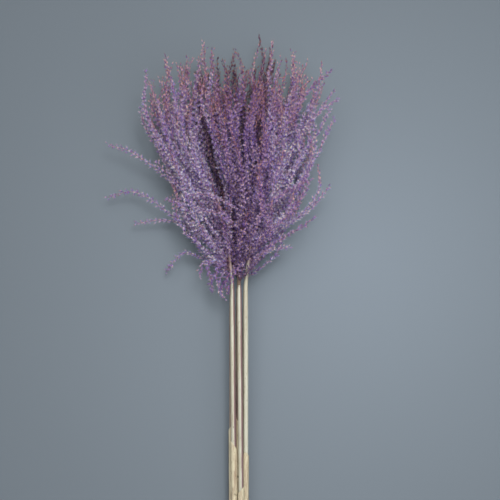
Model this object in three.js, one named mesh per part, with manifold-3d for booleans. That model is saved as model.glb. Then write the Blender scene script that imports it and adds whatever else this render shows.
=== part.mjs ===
// A bundle of dried, dyed miscanthus (silver grass), lying on a flat surface.
// Seven stems are held by an elastic band near their cut ends. Each stem is a culm, the leaf sheath
// that wraps part of it, and at its top a plume: a short axis that carries many long, thin racemes.
// Millimetres. +Y runs along the stems towards the plumes, +Z is up, and the surface is at z = 0.
// While the pieces are shaped, y = 0 is the plumes' neck and x = 0 the middle of the stems. The last
// lines move the whole bundle so that the origin is the bottom centre of its box.
import * as THREE from "three";
import { mergeVertices } from "three/addons/utils/BufferGeometryUtils.js";
import Module from "manifold-3d";

const wasm = await Module();
wasm.setup();

// Driving dimensions
const STEM_LENGTH = 450; // from the cut ends to the plumes' neck
const STEM_COUNT = 7; // one in the middle and six round it
const CULM_RADIUS = 3.05;
const CULM_SIDES = 10;
const CULM_TAPER = 0.15; // off the radius, from the joint up to where the culm narrows
const CULM_NECK_RADIUS = 2.4;
const CULM_TOP_RADIUS = 1.9;
const CULM_NARROWING = 30; // how far below the neck a culm starts to narrow
const JOINT_SWELLING = 0.3; // at the joint below a leaf sheath
const JOINT_LENGTH = 3.2;
const JOINT_GAP = 0.8; // between the joint and the leaf sheath
const SHEATH_WALL = 0.45;
const CLEARANCE = 0.35; // between pieces that touch in the real bundle
const CUT_SPACING = 7.9; // between neighbouring stems at the cut ends
const NECK_SPACING = 9.3; // and at the neck
const TWIST = (Math.PI * 5) / 36; // how far the stems turn round each other between the two
const FIRST_SEAT = (Math.PI * 17) / 36; // the angle of the first outer stem's place, at the neck
const NECK_HEIGHT = 44; // of the bundle's middle above the surface, at the neck
const BAND_FROM_CUT = 118; // the elastic band's distance from the cut ends
const BAND_WIDTH = 9;
const BAND_WALL = 1.5;

// The outline that the plumes fill together
const NECK_RADIUS = 15;
const HEAD_HALF_WIDTH = 143;
const HEAD_RISE = 98; // of the outline above the bundle's middle
const FLARE_LENGTH = 104; // how soon the head widens
const FLARE_POWER = 1.1;
const LEFT_WAIST = { depth: 0.2, y: 104, length: 42 }; // how much the head is drawn in there
const RIGHT_WAIST = { depth: 0.13, y: 200, length: 55 };
const SETTLE_LENGTH = 45; // how soon the underside comes down to the surface
const SETTLE_POWER = 1.4;
const FLATTENING = 0.7; // how much of the underside is pressed flat
const SAG = 0.00012; // of the bundle's middle line in the head, per millimetre

// Plumes' axes and racemes
const AXIS_LENGTH = 104;
const AXIS_RADIUS = 1.7;
const AXIS_TIP_RADIUS = 1;
const AXIS_SIDES = 6;
const AXIS_STEPS = 4;
const AXIS_SPREAD = 20; // how far an axis has left the bundle 100 mm beyond the neck
const AXIS_SPREAD_POWER = 1.7;
const RACEMES_PER_PLUME = 16;
const FIRST_RACEME = 3; // on the axis, from its lower end
const LAST_RACEME = 97;
const RACEME_LENGTH = 208; // the longest
const OUTER_SHORTENING = 0.22; // how much shorter the racemes at the outline's edge are
const LENGTH_SPREAD = 0.3; // how much shorter the shortest raceme is than the longest
const RACEME_RADIUS = 2.1; // at the thickest
const RACEME_END_RADIUS = 0.9;
const RACEME_SIDES = 4;
const RACEME_STEPS = 6;
const RACEME_TURN = 3.4; // above 1, how much sooner a raceme spreads than it runs out
const LIE_HEIGHT = 1.9; // of the middle line of a raceme that lies on the surface
const GOLDEN_ANGLE = 2.39996;
const CELL_DISTANCE = 0.66; // from the middle plume to the others, in units of the outline
const CELL_RADIUS = 0.265; // how far a raceme strays from the middle of its plume, in those units
const CELL_NARROWING = 0.5; // how much less the racemes at the top of an axis stray

// How far beyond the neck each stem's culm ends and its plume begins
const PLUME_STARTS = [16, 4, 30, 8, 0, 12, 20];
// How much shorter each culm is than the longest one
const CUT_STEPS = [3, 0, 7, 4, 0, 9, 2];
// Where each stem's leaf sheath ends, and how long it is
const SHEATH_TOPS = [-150, -236, -196, -128, -268, -164, -182];
const SHEATH_LENGTHS = [150, 104, 138, 160, 92, 150, 128];

// Racemes that leave the outline: the plume, where on its axis the raceme starts, and three points
// that it passes through, the last one being its tip.
const STRAYS = [
  { plume: 5, start: 34, through: [[-84, 132, 40], [-122, 162, 42], [-158, 172, 38]] },
  { plume: 5, start: 20, through: [[-78, 90, 32], [-124, 118, 28], [-158, 112, 22]] },
  { plume: 5, start: 12, through: [[-54, 74, 30], [-90, 83, 26], [-124, 79, 22]] },
  { plume: 5, start: 4, through: [[-42, 36, 34], [-66, 44, 30], [-89, 24, 24]] },
  { plume: 6, start: 50, through: [[-78, 150, 82], [-108, 208, 84], [-107, 257, 80]] },
  { plume: 6, start: 6, through: [[-18, 22, 60], [-25, 6, 62], [-20, -10, 60]] },
  { plume: 6, start: 2, through: [[-30, 36, 62], [-44, 32, 64], [-48, 18, 60]] },
  { plume: 1, start: 2, through: [[4, 30, 70], [-4, 18, 74], [-9, 0, 68]] },
  { plume: 1, start: 70, through: [[62, 205, 92], [86, 238, 88], [109, 256, 84]] },
  { plume: 2, start: 50, through: [[66, 178, 62], [94, 210, 60], [118, 228, 58]] },
  { plume: 2, start: 30, through: [[66, 126, 60], [94, 164, 58], [114, 203, 54]] },
  { plume: 2, start: 10, through: [[48, 72, 54], [84, 98, 52], [106, 124, 48]] },
  { plume: 2, start: 2, through: [[24, 42, 52], [44, 51, 52], [60, 54, 50]] },
];

// A repeatable number from 0 to 1 for each set of three whole numbers.
function chance(plume, raceme, purpose) {
  const wave = Math.sin(plume * 12.9 + raceme * 78.2 + purpose * 37.7) * 4375.85;
  return wave - Math.floor(wave);
}

function flare(y, length, power) {
  return y <= 0 ? 0 : 1 - Math.exp(-Math.pow(y / length, power));
}

// The height of the bundle's middle line. Two stems lie on the surface at their cut ends, and from
// there it climbs to the neck. Beyond the neck it sags.
function middleHeight(y) {
  const cutHeight = CUT_SPACING * Math.cos(Math.PI / 6) + CULM_RADIUS;
  const slope = (NECK_HEIGHT - cutHeight) / STEM_LENGTH;
  return y > 0 ? NECK_HEIGHT - SAG * y * y : NECK_HEIGHT + slope * y;
}

// How wide the outline is at y, from its middle line to the left or right.
function halfWidth(y) {
  return NECK_RADIUS + (HEAD_HALF_WIDTH - NECK_RADIUS) * flare(y, FLARE_LENGTH, FLARE_POWER);
}

// A point at y along the bundle, in units of the outline: (0, 0) is its middle line, across = 1 its
// right-hand edge, up = 1 its top and up = -1 its underside.
function place(across, up, y) {
  const wide = flare(y, FLARE_LENGTH, FLARE_POWER);
  const settled = flare(y, SETTLE_LENGTH, SETTLE_POWER);
  const middle = middleHeight(y);
  const rise = NECK_RADIUS + (HEAD_RISE - NECK_RADIUS) * wide;
  const drop = NECK_RADIUS + (middle - LIE_HEIGHT - NECK_RADIUS) * settled;
  const pressed = -Math.min(1, -up * (1 + FLATTENING * settled));
  const waist = across < 0 ? LEFT_WAIST : RIGHT_WAIST;
  const drawnIn = 1 - waist.depth * Math.exp(-Math.pow((y - waist.y) / waist.length, 2));
  const x = across * halfWidth(y) * drawnIn;
  return new THREE.Vector3(x, y, middle + (up < 0 ? pressed * drop : up * rise));
}

// Where stem number n sits in the bundle at y, in units of the spacing: 0 is the middle one.
function seat(n, y) {
  const turned = (TWIST * Math.min(y, 0)) / STEM_LENGTH;
  const angle = FIRST_SEAT - ((n - 1) * Math.PI) / 3 + turned;
  return n === 0 ? [0, 0] : [Math.cos(angle), Math.sin(angle)];
}

// How far apart the stems are at y, and the plumes' axes beyond the neck.
function spacingAt(y) {
  const spread = y > 0 ? AXIS_SPREAD * Math.pow(y / 100, AXIS_SPREAD_POWER) : 0;
  const along = Math.min(1, 1 + y / STEM_LENGTH);
  return THREE.MathUtils.lerp(CUT_SPACING, NECK_SPACING, along) + spread;
}

function stemPoint(n, y) {
  const [across, up] = seat(n, y);
  return new THREE.Vector3(across * spacingAt(y), y, middleHeight(y) + up * spacingAt(y));
}

// Where the racemes of a plume leave its axis at y, and where raceme number index ends.
function racemeRoute(n, index) {
  const [across, up] = seat(n, 0);
  const share = (index + 0.5) / RACEMES_PER_PLUME; // 0 low on the axis, 1 at its top
  const start = PLUME_STARTS[n] + THREE.MathUtils.lerp(FIRST_RACEME, LAST_RACEME, share);
  const stray = CELL_RADIUS * Math.sqrt(1 - CELL_NARROWING * share);
  const angle = index * GOLDEN_ANGLE + n;
  const aimAcross = across * CELL_DISTANCE + stray * Math.cos(angle);
  const aimUp = up * CELL_DISTANCE + stray * Math.sin(angle);
  const out = Math.hypot(aimAcross, aimUp);
  const longest = RACEME_LENGTH * (1 - OUTER_SHORTENING * out * out);
  const length = longest * (1 - LENGTH_SPREAD * chance(n, index, 1));
  const unit = spacingAt(start) / halfWidth(start);
  const points = [stemPoint(n, start)];
  for (let step = 1; step <= RACEME_STEPS; step += 1) {
    const along = step / RACEME_STEPS;
    const turn = 1 - Math.pow(1 - along, RACEME_TURN);
    const nowAcross = THREE.MathUtils.lerp(across * unit, aimAcross, turn);
    const nowUp = THREE.MathUtils.lerp(up * unit, aimUp, turn);
    points.push(place(nowAcross, nowUp, start + length * along));
  }
  return new THREE.CatmullRomCurve3(points);
}

function strayRoute({ plume, start, through }) {
  const from = stemPoint(plume, PLUME_STARTS[plume] + start);
  const points = through.map((point) => new THREE.Vector3(...point));
  return new THREE.CatmullRomCurve3([from, ...points]);
}

// A closed tube along a curve: a cylinder's rings are laid on the curve, each with its own radius.
function tubeAlong(curve, radiusAt, sides, steps) {
  const geometry = new THREE.CylinderGeometry(1, 1, 1, sides, steps);
  const frames = curve.computeFrenetFrames(steps);
  const position = geometry.getAttribute("position");
  const vertex = new THREE.Vector3();
  for (let i = 0; i < position.count; i += 1) {
    vertex.fromBufferAttribute(position, i);
    const ring = Math.round((vertex.y + 0.5) * steps);
    const radius = radiusAt(ring / steps);
    const across = frames.normals[ring].clone().multiplyScalar(vertex.x * radius);
    const along = frames.binormals[ring].clone().multiplyScalar(-vertex.z * radius);
    const at = curve.getPointAt(ring / steps).add(across).add(along);
    position.setXYZ(i, at.x, at.y, at.z);
  }
  return geometry;
}

function solidFrom(geometry) {
  const bare = geometry.clone();
  bare.deleteAttribute("normal");
  bare.deleteAttribute("uv");
  const merged = mergeVertices(bare, 1e-4);
  return new wasm.Manifold(
    new wasm.Mesh({
      numProp: 3,
      vertProperties: merged.getAttribute("position").array,
      triVerts: new Uint32Array(merged.index.array),
    }),
  );
}

function geometryFrom(solid) {
  const mesh = solid.getMesh();
  const geometry = new THREE.BufferGeometry();
  geometry.setAttribute("position", new THREE.BufferAttribute(mesh.vertProperties, 3));
  geometry.setIndex(new THREE.BufferAttribute(mesh.triVerts, 1));
  geometry.computeVertexNormals();
  return geometry;
}

function racemeRadius(along) {
  return RACEME_END_RADIUS + (RACEME_RADIUS - RACEME_END_RADIUS) * Math.sin(Math.PI * along);
}

const culmMaterial = new THREE.MeshStandardMaterial({ color: 0xcfcdb5, roughness: 0.55, metalness: 0 });
const sheathMaterial = new THREE.MeshStandardMaterial({ color: 0xbfb893, roughness: 0.65, metalness: 0 });
const plumeMaterial = new THREE.MeshStandardMaterial({ color: 0x78697d, roughness: 0.9, metalness: 0 });
const bandMaterial = new THREE.MeshStandardMaterial({ color: 0xb08d5a, roughness: 0.5, metalness: 0 });

function named(name, geometry, material) {
  const mesh = new THREE.Mesh(geometry, material);
  mesh.name = name;
  return mesh;
}

// Lays a geometry that was made round the Y axis along stem number n, with its own y = 0 at bottom.
function layAlong(geometry, n, bottom) {
  const position = geometry.getAttribute("position");
  for (let i = 0; i < position.count; i += 1) {
    const at = stemPoint(n, bottom + position.getY(i));
    position.setXYZ(i, at.x + position.getX(i), at.y, at.z + position.getZ(i));
  }
  return geometry;
}

// A culm: a slightly tapered stem, swollen where its leaf sheath is joined on, and cut square.
function culm(n) {
  const bottom = -STEM_LENGTH + CUT_STEPS[n];
  const neck = -bottom;
  const top = PLUME_STARTS[n] - CLEARANCE - bottom;
  const joint = SHEATH_TOPS[n] - SHEATH_LENGTHS[n] - JOINT_GAP - bottom;
  const profile = [
    [0, 0],
    [CULM_RADIUS, 0],
    [CULM_RADIUS, joint - JOINT_LENGTH],
    [CULM_RADIUS + JOINT_SWELLING, joint - JOINT_LENGTH / 2],
    [CULM_RADIUS, joint],
    [CULM_RADIUS - CULM_TAPER, neck - CULM_NARROWING],
    [CULM_NECK_RADIUS, neck - 1],
    [CULM_TOP_RADIUS, top],
    [0, top],
  ].map(([radius, y]) => new THREE.Vector2(radius, y));
  const geometry = layAlong(new THREE.LatheGeometry(profile, CULM_SIDES), n, bottom);
  return named(`culm_${n + 1}`, geometry, culmMaterial);
}

// A leaf sheath: the tube that is left of a leaf once its blade is stripped off.
function leafSheath(n) {
  const inner = CULM_RADIUS + CLEARANCE;
  const profile = [
    [inner, 0],
    [inner + SHEATH_WALL, 0],
    [inner + SHEATH_WALL, SHEATH_LENGTHS[n]],
    [inner, SHEATH_LENGTHS[n]],
    [inner, 0],
  ].map(([radius, y]) => new THREE.Vector2(radius, y));
  const lathe = new THREE.LatheGeometry(profile, CULM_SIDES);
  const geometry = layAlong(lathe, n, SHEATH_TOPS[n] - SHEATH_LENGTHS[n]);
  return named(`leaf_sheath_${n + 1}`, geometry, sheathMaterial);
}

// A plume: its axis and all the racemes that grow from it, as one body.
function plume(n) {
  const start = PLUME_STARTS[n];
  const axisPoints = [];
  for (let step = 0; step <= AXIS_STEPS; step += 1) {
    axisPoints.push(stemPoint(n, start + (AXIS_LENGTH * step) / AXIS_STEPS));
  }
  const axisCurve = new THREE.CatmullRomCurve3(axisPoints);
  const axisRadius = (along) => THREE.MathUtils.lerp(AXIS_RADIUS, AXIS_TIP_RADIUS, along);
  let solid = solidFrom(tubeAlong(axisCurve, axisRadius, AXIS_SIDES, AXIS_STEPS));
  const routes = STRAYS.filter((stray) => stray.plume === n).map(strayRoute);
  for (let index = 0; index < RACEMES_PER_PLUME; index += 1) {
    routes.push(racemeRoute(n, index));
  }
  for (const route of routes) {
    solid = solid.add(solidFrom(tubeAlong(route, racemeRadius, RACEME_SIDES, RACEME_STEPS)));
  }
  return named(`plume_${n + 1}`, geometryFrom(solid), plumeMaterial);
}

// A section across the stems at y: the outline that keeps an even margin round the six outer ones.
function outlineRound(y, margin) {
  const points = [];
  for (let n = STEM_COUNT - 1; n > 0; n -= 1) {
    const [across, up] = seat(n, y);
    const facing = Math.atan2(up, across);
    for (const turn of [-Math.PI / 6, 0, Math.PI / 6]) {
      const pointAcross = across * spacingAt(y) + margin * Math.cos(facing + turn);
      const pointUp = up * spacingAt(y) + margin * Math.sin(facing + turn);
      points.push(new THREE.Vector2(pointAcross, pointUp));
    }
  }
  return points;
}

// The elastic band: a ring that lies round the six outer stems.
function elasticBand() {
  const y = -STEM_LENGTH + BAND_FROM_CUT;
  const inner = CULM_RADIUS + CLEARANCE + SHEATH_WALL + CLEARANCE;
  const shape = new THREE.Shape(outlineRound(y, inner + BAND_WALL));
  shape.holes.push(new THREE.Path(outlineRound(y, inner)));
  const geometry = new THREE.ExtrudeGeometry(shape, { depth: BAND_WIDTH, bevelEnabled: false });
  geometry.rotateX(Math.PI / 2);
  return named("elastic_band", layAlong(geometry, 0, y), bandMaterial);
}

const bundle = new THREE.Group();
for (let n = 0; n < STEM_COUNT; n += 1) {
  bundle.add(culm(n), leafSheath(n), plume(n));
}
bundle.add(elasticBand());

bundle.updateMatrixWorld(true);
const box = new THREE.Box3().setFromObject(bundle, true);
const middle = box.getCenter(new THREE.Vector3());
bundle.position.set(-middle.x, -middle.y, -box.min.z);

const part = new THREE.Group();
part.add(bundle);

export default part;
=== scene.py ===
"""A bundle of dried, lilac-dyed miscanthus, lying on a plain floor and seen from straight above.

Seven stems lie side by side. Each is a culm, a leaf sheath and a plume of thin racemes, and every
raceme carries pairs of hairy spikelets. An elastic band holds the stems near their cut ends.
Shapes are worked out in millimetres from the plumes' neck, where x = 0 is the middle of the stems
and z = 0 is the floor, and to_scene() turns them into the frame's metres.
"""

import math

import bpy
import numpy as np
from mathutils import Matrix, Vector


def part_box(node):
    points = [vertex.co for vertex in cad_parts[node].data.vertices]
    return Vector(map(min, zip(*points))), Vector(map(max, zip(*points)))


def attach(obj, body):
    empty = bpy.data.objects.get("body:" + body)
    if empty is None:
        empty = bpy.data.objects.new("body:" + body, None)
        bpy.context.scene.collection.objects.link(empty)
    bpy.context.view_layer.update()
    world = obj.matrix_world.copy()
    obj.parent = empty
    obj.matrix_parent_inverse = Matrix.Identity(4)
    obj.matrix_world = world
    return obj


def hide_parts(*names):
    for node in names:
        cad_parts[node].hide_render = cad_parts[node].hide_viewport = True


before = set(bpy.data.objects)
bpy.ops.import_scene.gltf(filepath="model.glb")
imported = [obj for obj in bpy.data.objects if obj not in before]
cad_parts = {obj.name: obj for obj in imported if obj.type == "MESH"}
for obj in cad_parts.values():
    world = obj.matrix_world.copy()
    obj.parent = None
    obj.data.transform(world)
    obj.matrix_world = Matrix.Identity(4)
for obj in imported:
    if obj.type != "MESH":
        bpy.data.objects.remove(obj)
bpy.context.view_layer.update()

# The bundle's shape, as in the CAD model, in millimetres
STEM_LENGTH = 450
STEM_COUNT = 7
CULM_RADIUS = 3.05
CUT_SPACING = 7.9
NECK_SPACING = 9.3
TWIST = math.pi * 5 / 36
FIRST_SEAT = math.pi * 17 / 36
NECK_HEIGHT = 44
BAND_FROM_CUT = 118
BAND_WIDTH = 9
NECK_RADIUS = 15
HEAD_HALF_WIDTH = 143
HEAD_RISE = 98
FLARE_LENGTH = 104
FLARE_POWER = 1.1
LEFT_WAIST = {"depth": 0.2, "y": 104, "length": 42}
RIGHT_WAIST = {"depth": 0.13, "y": 200, "length": 55}
SETTLE_LENGTH = 45
SETTLE_POWER = 1.4
FLATTENING = 0.7
SAG = 0.00012
AXIS_LENGTH = 104
AXIS_RADIUS = 1.7
AXIS_TIP_RADIUS = 0.7
AXIS_SPREAD = 20
AXIS_SPREAD_POWER = 1.7
RACEMES_PER_PLUME = 16
FIRST_RACEME = 3
LAST_RACEME = 97
RACEME_LENGTH = 208
OUTER_SHORTENING = 0.22
LENGTH_SPREAD = 0.3
RACEME_STEPS = 6
RACEME_TURN = 3.4
LIE_HEIGHT = 1.9
GOLDEN_ANGLE = 2.39996
CELL_DISTANCE = 0.66
CELL_RADIUS = 0.265
CELL_NARROWING = 0.5
PLUME_STARTS = [16, 4, 30, 8, 0, 12, 20]
CUT_STEPS = [3, 0, 7, 4, 0, 9, 2]
SHEATH_TOPS = [-150, -236, -196, -128, -268, -164, -182]
SHEATH_LENGTHS = [150, 104, 138, 160, 92, 150, 128]
STRAYS = [
    {"plume": 5, "start": 34, "through": [(-84, 132, 40), (-122, 162, 42), (-158, 172, 38)]},
    {"plume": 5, "start": 20, "through": [(-78, 90, 32), (-124, 118, 28), (-158, 112, 22)]},
    {"plume": 5, "start": 12, "through": [(-54, 74, 30), (-90, 83, 26), (-124, 79, 22)]},
    {"plume": 5, "start": 4, "through": [(-42, 36, 34), (-66, 44, 30), (-89, 24, 24)]},
    {"plume": 6, "start": 50, "through": [(-78, 150, 82), (-108, 208, 84), (-107, 257, 80)]},
    {"plume": 6, "start": 6, "through": [(-18, 22, 60), (-25, 6, 62), (-20, -10, 60)]},
    {"plume": 6, "start": 2, "through": [(-30, 36, 62), (-44, 32, 64), (-48, 18, 60)]},
    {"plume": 1, "start": 2, "through": [(4, 30, 70), (-4, 18, 74), (-9, 0, 68)]},
    {"plume": 1, "start": 70, "through": [(62, 205, 92), (86, 238, 88), (109, 256, 84)]},
    {"plume": 2, "start": 50, "through": [(66, 178, 62), (94, 210, 60), (118, 228, 58)]},
    {"plume": 2, "start": 30, "through": [(66, 126, 60), (94, 164, 58), (114, 203, 54)]},
    {"plume": 2, "start": 10, "through": [(48, 72, 54), (84, 98, 52), (106, 124, 48)]},
    {"plume": 2, "start": 2, "through": [(24, 42, 52), (44, 51, 52), (60, 54, 50)]},
]

# Racemes that the CAD model leaves out, in millimetres
EXTRA_RACEMES = 16  # in each plume, to fill it
EXTRA_CELL_RADIUS = 0.42
EXTRA_STEP = 0.618  # of the plume's axis, from one of them to the next
EXTRA_REACH_LEFT = 0.74  # how far out they reach, in units of the outline
EXTRA_REACH_RIGHT = 0.62
EXTRA_TOP = 303  # where the highest of them end, over the neck
EXTRA_TOP_DROP = 0.2
EXTRA_TOP_SPREAD = 0.25
SHORT_RACEMES = 5  # in each plume, round the neck
FIRST_SHORT = 40  # the number of the first of them
SHORT_CELL_RADIUS = 0.36
SHORT_SHARE = 0.3  # of the plume's axis that carries them
SHORT_LENGTH = 0.28  # in units of the other racemes' length
SHORT_LENGTH_SPREAD = 0.3
# Loose ones: some droop over the neck, some lie across the front, and some fan out at the sides
LOOSE = [
    {"plume": 6, "start": 10, "through": [(-21, 32, 62), (-27, 18, 64), (-22, 1, 61)], "shine": -0.2},
    {"plume": 6, "start": 4, "through": [(-12, 20, 60), (-16, 8, 62), (-15, -4, 60)], "shine": -0.2},
    {"plume": 6, "start": 14, "through": [(-29, 40, 60), (-37, 29, 62), (-33, 13, 58)], "shine": -0.2},
    {"plume": 1, "start": 8, "through": [(-4, 26, 70), (-14, 16, 72), (-20, 4, 68)], "shine": -0.1},
    {"plume": 5, "start": 2, "through": [(-24, 22, 44), (-32, 12, 44), (-29, -1, 40)], "shine": -0.2},
    {
        "plume": 6,
        "start": 20,
        "through": [(-54, 76, 70), (-62, 108, 88), (-32, 111, 107), (-4, 99, 106)],
    },
    {"plume": 6, "start": 12, "through": [(-42, 64, 66), (-50, 90, 86), (-24, 90, 101), (-6, 78, 98)]},
    {"plume": 1, "start": 6, "through": [(20, 34, 80), (36, 60, 92), (30, 92, 98), (24, 128, 102)]},
    {"plume": 6, "start": 12, "through": [(-34, 62, 78), (-58, 96, 80), (-84, 110, 70)]},
    {"plume": 6, "start": 22, "through": [(-40, 84, 86), (-66, 120, 84), (-96, 150, 72)]},
    {"plume": 6, "start": 2, "through": [(-32, 38, 62), (-52, 58, 60), (-62, 82, 56)]},
    {"plume": 1, "start": 18, "through": [(24, 62, 84), (54, 88, 86), (76, 114, 78)]},
    {"plume": 1, "start": 28, "through": [(20, 78, 92), (48, 112, 94), (84, 130, 86)]},
    {"plume": 1, "start": 8, "through": [(26, 44, 72), (58, 68, 72), (86, 86, 62)]},
    {"plume": 2, "start": 8, "through": [(36, 70, 60), (66, 98, 62), (84, 124, 58), (78, 142, 54)]},
    {"plume": 2, "start": 40, "through": [(60, 140, 70), (92, 186, 66), (110, 214, 60)]},
    {"plume": 2, "start": 60, "through": [(70, 172, 60), (98, 216, 56), (114, 236, 50)]},
    {"plume": 6, "start": 40, "through": [(-66, 130, 80), (-98, 176, 78), (-112, 214, 72)]},
    {"plume": 5, "start": 44, "through": [(-80, 140, 40), (-106, 184, 40), (-116, 216, 36)]},
]

# The head opens in a line down its front
PARTING_FOOT = (-14, 102)
PARTING_TOP = (-50, 206)
PARTING_WIDTH = 12
PARTING_FADE = 1.6  # times its width, to where it moves a raceme a third as far as in its middle
PARTING_DEPTH = 12
PARTING_ENDS = 0.16  # the larger, the slower it fades at its ends

# painted light and shade for each plume, by where it lies: darker inside and beneath the bundle, paler
# at its sides
PLUME_PAINTED_LIGHT = ["painted_shade", "middle", "pale", "pale", "painted_shade", "pale", "pale"]
CULM_SHADES = ["mauve", "stained", "pale", "pale", "pale", "mauve", "stained"]

random = np.random.default_rng(7)

culm_low, culm_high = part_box("culm_1")
AXIS_X = (culm_low[0] + culm_high[0]) / 2
NECK_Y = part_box("culm_2")[0][1] + STEM_LENGTH / 1000


def to_scene(points):
    return np.asarray(points) / 1000 + np.array([AXIS_X, NECK_Y, 0])


def unit(vectors):
    return vectors / np.maximum(np.linalg.norm(vectors, axis=-1, keepdims=True), 1e-9)


# ---------------------------------------------------------------- the bundle's shape


def chance(plume, raceme, purpose):
    """A number from 0 to 1 that is the same in each run and in the CAD model."""
    wave = math.sin(plume * 12.9 + raceme * 78.2 + purpose * 37.7) * 4375.85
    return wave - math.floor(wave)


def flare(y, length, power):
    return 0 if y <= 0 else 1 - math.exp(-((y / length) ** power))


def middle_height(y):
    cut_height = CUT_SPACING * math.cos(math.pi / 6) + CULM_RADIUS
    slope = (NECK_HEIGHT - cut_height) / STEM_LENGTH
    return NECK_HEIGHT - SAG * y * y if y > 0 else NECK_HEIGHT + slope * y


def half_width(y):
    return NECK_RADIUS + (HEAD_HALF_WIDTH - NECK_RADIUS) * flare(y, FLARE_LENGTH, FLARE_POWER)


def place(across, up, y):
    """A point at y in units of the plumes' shared outline."""
    wide = flare(y, FLARE_LENGTH, FLARE_POWER)
    settled = flare(y, SETTLE_LENGTH, SETTLE_POWER)
    middle = middle_height(y)
    rise = NECK_RADIUS + (HEAD_RISE - NECK_RADIUS) * wide
    drop = NECK_RADIUS + (middle - LIE_HEIGHT - NECK_RADIUS) * settled
    pressed = -min(1, -up * (1 + FLATTENING * settled))
    waist = LEFT_WAIST if across < 0 else RIGHT_WAIST
    drawn_in = 1 - waist["depth"] * math.exp(-(((y - waist["y"]) / waist["length"]) ** 2))
    return (across * half_width(y) * drawn_in, y, middle + (pressed * drop if up < 0 else up * rise))


def seat(n, y):
    turned = TWIST * min(y, 0) / STEM_LENGTH
    angle = FIRST_SEAT - (n - 1) * math.pi / 3 + turned
    return (0, 0) if n == 0 else (math.cos(angle), math.sin(angle))


def spacing_at(y):
    spread = AXIS_SPREAD * (y / 100) ** AXIS_SPREAD_POWER if y > 0 else 0
    along = min(1, 1 + y / STEM_LENGTH)
    return CUT_SPACING + (NECK_SPACING - CUT_SPACING) * along + spread


def stem_point(n, y):
    across, up = seat(n, y)
    return (across * spacing_at(y), y, middle_height(y) + up * spacing_at(y))


def raceme_start(n, share):
    return PLUME_STARTS[n] + FIRST_RACEME + (LAST_RACEME - FIRST_RACEME) * share


def raceme_aim(n, index, share, cell_radius):
    """Where a raceme heads for, in units of the plumes' shared outline."""
    across, up = seat(n, 0)
    stray = cell_radius * math.sqrt(1 - CELL_NARROWING * share)
    angle = index * GOLDEN_ANGLE + n
    return (
        across * CELL_DISTANCE + stray * math.cos(angle),
        up * CELL_DISTANCE + stray * math.sin(angle),
    )


def raceme_length(n, index, aim):
    longest = RACEME_LENGTH * (1 - OUTER_SHORTENING * math.hypot(*aim) ** 2)
    return longest * (1 - LENGTH_SPREAD * chance(n, index, 1))


def raceme_points(n, start, aim, length):
    """Points on a raceme that leaves its plume's axis at a height and curves out to its aim."""
    across, up = seat(n, 0)
    unit_here = spacing_at(start) / half_width(start)
    points = [stem_point(n, start)]
    for step in range(1, RACEME_STEPS + 1):
        along = step / RACEME_STEPS
        turn = 1 - (1 - along) ** RACEME_TURN
        now_across = across * unit_here * (1 - turn) + aim[0] * turn
        now_up = up * unit_here * (1 - turn) + aim[1] * turn
        points.append(place(now_across, now_up, start + length * along))
    return np.array(points)


CURVE_STEPS = 16


def smooth_line(points, spacing):
    """Points at an even spacing on a centripetal Catmull-Rom curve through the given points."""
    points = np.asarray(points, float)
    ends = np.vstack([2 * points[0] - points[1], points, 2 * points[-1] - points[-2]])
    line = []
    for a, b, c, d in zip(ends, ends[1:], ends[2:], ends[3:]):
        ta = 0.0
        tb = ta + np.linalg.norm(b - a) ** 0.5
        tc = tb + np.linalg.norm(c - b) ** 0.5
        td = tc + np.linalg.norm(d - c) ** 0.5
        t = np.linspace(tb, tc, CURVE_STEPS, endpoint=False)[:, None]
        ab = a + (b - a) * (t - ta) / (tb - ta)
        bc = b + (c - b) * (t - tb) / (tc - tb)
        cd = c + (d - c) * (t - tc) / (td - tc)
        abc = ab + (bc - ab) * (t - ta) / (tc - ta)
        bcd = bc + (cd - bc) * (t - tb) / (td - tb)
        line.append(abc + (bcd - abc) * (t - tb) / (tc - tb))
    return even_line(np.vstack(line + [points[-1:]]), spacing)


def even_line(line, spacing):
    run = np.concatenate([[0], np.cumsum(np.linalg.norm(np.diff(line, axis=0), axis=1))])
    stations = np.linspace(0, run[-1], max(3, int(run[-1] / spacing) + 1))
    return np.stack([np.interp(stations, run, line[:, axis]) for axis in range(3)], axis=1)


def line_frames(line):
    """For each point of a line, its direction and two directions across it."""
    along = unit(np.gradient(line, axis=0))
    side = unit(np.cross(along, np.array([0.0, 0.0, 1.0])) + 1e-6)
    return along, side, np.cross(side, along)


# ---------------------------------------------------------------- meshes


class Soup:
    """Vertices, faces and UVs that end up in one mesh."""

    def __init__(self):
        self.points = []
        self.uvs = []
        self.faces = []
        self.count = 0

    def add(self, points, faces, uvs):
        """faces is a list of arrays, each with faces of one size."""
        self.points.append(points)
        self.uvs.append(uvs)
        self.faces += [np.asarray(group) + self.count for group in faces if len(group)]
        self.count += len(points)

    def build(self, name, material, slot, replaced):
        points = to_scene(np.vstack(self.points))
        points[:, 2] = above_floor(points[:, 2])
        uvs = np.vstack(self.uvs)
        mesh = bpy.data.meshes.new(name)
        mesh.vertices.add(len(points))
        mesh.vertices.foreach_set("co", points.astype(np.float32).ravel())
        corners = np.concatenate([group.ravel() for group in self.faces]).astype(np.int32)
        sizes = np.concatenate([np.full(len(group), group.shape[1]) for group in self.faces])
        starts = np.concatenate([[0], np.cumsum(sizes)[:-1]]).astype(np.int32)
        mesh.loops.add(len(corners))
        mesh.loops.foreach_set("vertex_index", corners)
        mesh.polygons.add(len(sizes))
        mesh.polygons.foreach_set("loop_start", starts)
        layer = mesh.uv_layers.new(name="OFBake")
        layer.data.foreach_set("uv", uvs[corners].astype(np.float32).ravel())
        mesh.update(calc_edges=True)
        mesh.validate()
        mesh.shade_smooth()
        mesh.materials.append(material)
        piece = bpy.data.objects.new(name, mesh)
        bpy.context.scene.collection.objects.link(piece)
        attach(piece, "root")
        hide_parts(replaced)
        return piece


FLOOR_GAP = 0.0002
FLOOR_EASE = 0.002  # below this height, in metres, things are lifted


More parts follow.
